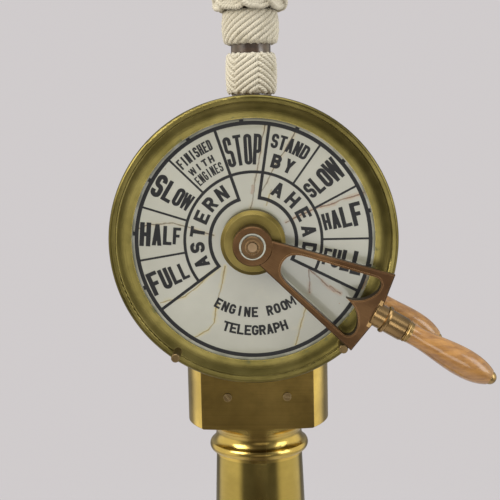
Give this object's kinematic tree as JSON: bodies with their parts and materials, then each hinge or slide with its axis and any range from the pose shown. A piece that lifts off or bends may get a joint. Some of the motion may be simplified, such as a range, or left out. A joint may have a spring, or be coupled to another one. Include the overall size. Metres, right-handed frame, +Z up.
{
  "type": "ship engine telegraph",
  "caption": "Brass pedestal order telegraph with a round drum head, white dials, triangular swinging levers and a rope-bound top post.",
  "frame": {"origin": "centre of the floor bolt circle, on the underside of the base flange", "axes": "+Z up, -Y out of the front dial, +X to the right as the front dial is read"},
  "size_m": [0.4678, 0.37, 1.385],
  "materials": {
    "bezel_brass": "aged, fine turning marks",
    "case_brass": "dark brushed brass",
    "column_brass": "polished brass",
    "lever_bronze": "brown bronze",
    "washer_metal": "pale grey washer",
    "bright_brass": "worn bright brass",
    "dial_glass": "stained white opal glass",
    "seal_rubber": "matt",
    "clamp_brass": "dull",
    "screw_steel": "oiled",
    "bearing_bronze": "machined bronze",
    "bridge_iron": "painted casting",
    "shaft_steel": "ground steel",
    "gear_brass": "cut gears, greased",
    "gong_metal": "bell metal",
    "hammer_steel": "blued steel",
    "grip_wood": "varnished hardwood",
    "lamp_body": "dull brass",
    "lamp_glass": "clear glass",
    "post_wood": "dark stained wood",
    "rope_cotton": "white cotton line, weathered"
  },
  "bodies": {
    "pedestal": {"base_flange": "column_brass", "column": "column_brass", "column_screws": "screw_steel", "dial_seals": "seal_rubber", "drum_case": "case_brass", "foot_bearing": "bearing_bronze", "front_bezel": "bezel_brass", "front_bridge": "bridge_iron", "front_bush": "bearing_bronze", "front_case_ring": "case_brass", "front_clamp_ring": "clamp_brass", "front_dial": "dial_glass", "front_gong": "gong_metal", "front_hammer_spring": "hammer_steel", "front_hub_plate": "bright_brass", "head_screws": "screw_steel", "lamp_bulb": "lamp_glass", "lamp_holder": "lamp_body", "neck_box": "case_brass", "neck_screws": "bright_brass", "rear_bezel": "bezel_brass", "rear_bridge": "bridge_iron", "rear_bush": "bearing_bronze", "rear_case_ring": "case_brass", "rear_clamp_ring": "clamp_brass", "rear_dial": "dial_glass", "rear_gong": "gong_metal", "rear_hammer_spring": "hammer_steel", "rear_hub_plate": "bright_brass", "rope_band_lower": "rope_cotton", "rope_band_upper": "rope_cotton", "rope_knot": "rope_cotton", "rope_post": "post_wood", "stop_pins": "bright_brass", "upper_bearing": "bearing_bronze"},
    "front_lever_body": {"front_lever": "lever_bronze", "front_handle_stem": "bright_brass", "front_grip": "grip_wood", "front_grip_nut": "bright_brass", "front_shaft": "shaft_steel", "front_washer": "washer_metal", "front_nut": "lever_bronze", "front_star_wheel": "gear_brass", "front_bevel_wheel": "gear_brass"},
    "rear_lever_body": {"rear_lever": "lever_bronze", "rear_handle_stem": "bright_brass", "rear_grip": "grip_wood", "rear_grip_nut": "bright_brass", "rear_shaft": "shaft_steel", "rear_washer": "washer_metal", "rear_nut": "lever_bronze", "rear_star_wheel": "gear_brass", "rear_bevel_wheel": "gear_brass"},
    "inner_drive": {"inner_shaft": "shaft_steel", "inner_pinion": "gear_brass"},
    "outer_drive": {"outer_shaft": "shaft_steel", "outer_pinion": "gear_brass", "shaft_bushes": "bearing_bronze"},
    "front_hammer_body": {"front_hammer": "hammer_steel"},
    "rear_hammer_body": {"rear_hammer": "hammer_steel"}
  },
  "joints": [
    {"name": "front_lever_swing", "type": "hinge", "parent": "pedestal", "child": "front_lever_body", "pos_m": [0, -0.15, 1.04], "axis": [0, -1, 0], "range_deg": [0, 245.3]},
    {"name": "rear_lever_swing", "type": "hinge", "parent": "pedestal", "child": "rear_lever_body", "pos_m": [0, 0.15, 1.04], "axis": [0, -1, 0], "range_deg": [0, 245.3]},
    {"name": "inner_shaft_spin", "type": "hinge", "parent": "pedestal", "child": "inner_drive", "pos_m": [0, 0, 0.5], "axis": [0, 0, 1], "range_deg": [0, 245.3]},
    {"name": "outer_shaft_spin", "type": "hinge", "parent": "pedestal", "child": "outer_drive", "pos_m": [0, 0, 0.5], "axis": [0, 0, 1], "range_deg": [-245.3, 0]},
    {"name": "front_hammer_swing", "type": "hinge", "parent": "pedestal", "child": "front_hammer_body", "pos_m": [0.038, -0.061, 1.09], "axis": [0, -1, 0], "range_deg": [-12, 4.5], "stiffness_Nm_per_rad": 1.5},
    {"name": "rear_hammer_swing", "type": "hinge", "parent": "pedestal", "child": "rear_hammer_body", "pos_m": [-0.038, 0.061, 1.09], "axis": [0, 1, 0], "range_deg": [-12, 4.5], "stiffness_Nm_per_rad": 1.5}
  ],
  "couplings": [
    {"joint": "inner_shaft_spin", "follows": "front_lever_swing", "ratio": 1},
    {"joint": "outer_shaft_spin", "follows": "rear_lever_swing", "ratio": -1}
  ]
}
